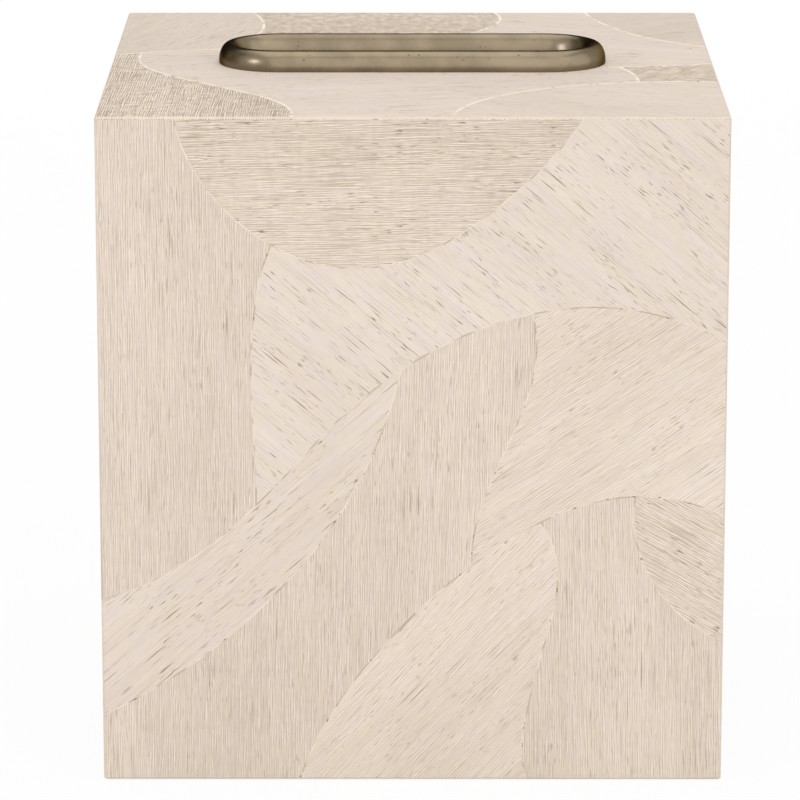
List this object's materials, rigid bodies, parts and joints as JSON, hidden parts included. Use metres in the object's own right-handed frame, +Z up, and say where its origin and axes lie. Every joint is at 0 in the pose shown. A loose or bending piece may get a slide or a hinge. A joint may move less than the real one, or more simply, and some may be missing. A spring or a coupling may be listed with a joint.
{
  "type": "tissue box cover",
  "caption": "Square bathroom tissue box cover, open below, skinned in curved patches of pale wood veneer, with a round-ended slot in the top rimmed by a rounded satin metal bead.",
  "frame": {"origin": "on the table, under the middle of the box, level with the bottom of the felt pads", "axes": "+Z up, the way the tissues leave; the front faces -Y; +X runs along the slot, to the right seen from the front"},
  "size_m": [0.1396, 0.1396, 0.1573],
  "materials": {
    "veneer_lined": "matt bleached veneer, fine straight grain",
    "veneer_pale": "matt bleached veneer, smooth with sparse pores",
    "veneer_dense": "matt bleached veneer, dense pores and cross figure",
    "core_board": "plain fibreboard",
    "rim_metal": "satin, aged",
    "felt": "felt"
  },
  "bodies": {
    "root": {"back_board": "core_board", "back_veneer_lower_left": "veneer_pale", "back_veneer_lower_middle": "veneer_lined", "back_veneer_lower_right": "veneer_lined", "back_veneer_upper_left": "veneer_pale", "back_veneer_upper_right": "veneer_dense", "felt_pad_back_left": "felt", "felt_pad_back_right": "felt", "felt_pad_front_left": "felt", "felt_pad_front_right": "felt", "front_board": "core_board", "front_veneer_lower_left": "veneer_lined", "front_veneer_lower_middle": "veneer_lined", "front_veneer_lower_right": "veneer_lined", "front_veneer_middle_left": "veneer_pale", "front_veneer_middle_right": "veneer_lined", "front_veneer_right_edge": "veneer_dense", "front_veneer_top": "veneer_dense", "front_veneer_upper_left": "veneer_lined", "front_veneer_upper_right": "veneer_pale", "left_board": "core_board", "left_veneer_lower_back": "veneer_dense", "left_veneer_lower_front": "veneer_pale", "left_veneer_lower_middle": "veneer_lined", "left_veneer_upper_back": "veneer_pale", "left_veneer_upper_front": "veneer_lined", "right_board": "core_board", "right_veneer_lower_back": "veneer_dense", "right_veneer_lower_front": "veneer_pale", "right_veneer_lower_middle": "veneer_lined", "right_veneer_upper_back": "veneer_pale", "right_veneer_upper_front": "veneer_lined", "slot_rim": "rim_metal", "top_board": "core_board", "top_veneer_back": "veneer_dense", "top_veneer_back_corner": "veneer_lined", "top_veneer_back_left": "veneer_lined", "top_veneer_back_right": "veneer_pale", "top_veneer_front": "veneer_pale", "top_veneer_front_left": "veneer_dense", "top_veneer_front_right": "veneer_lined", "top_veneer_right_end": "veneer_dense"}
  },
  "joints": []
}
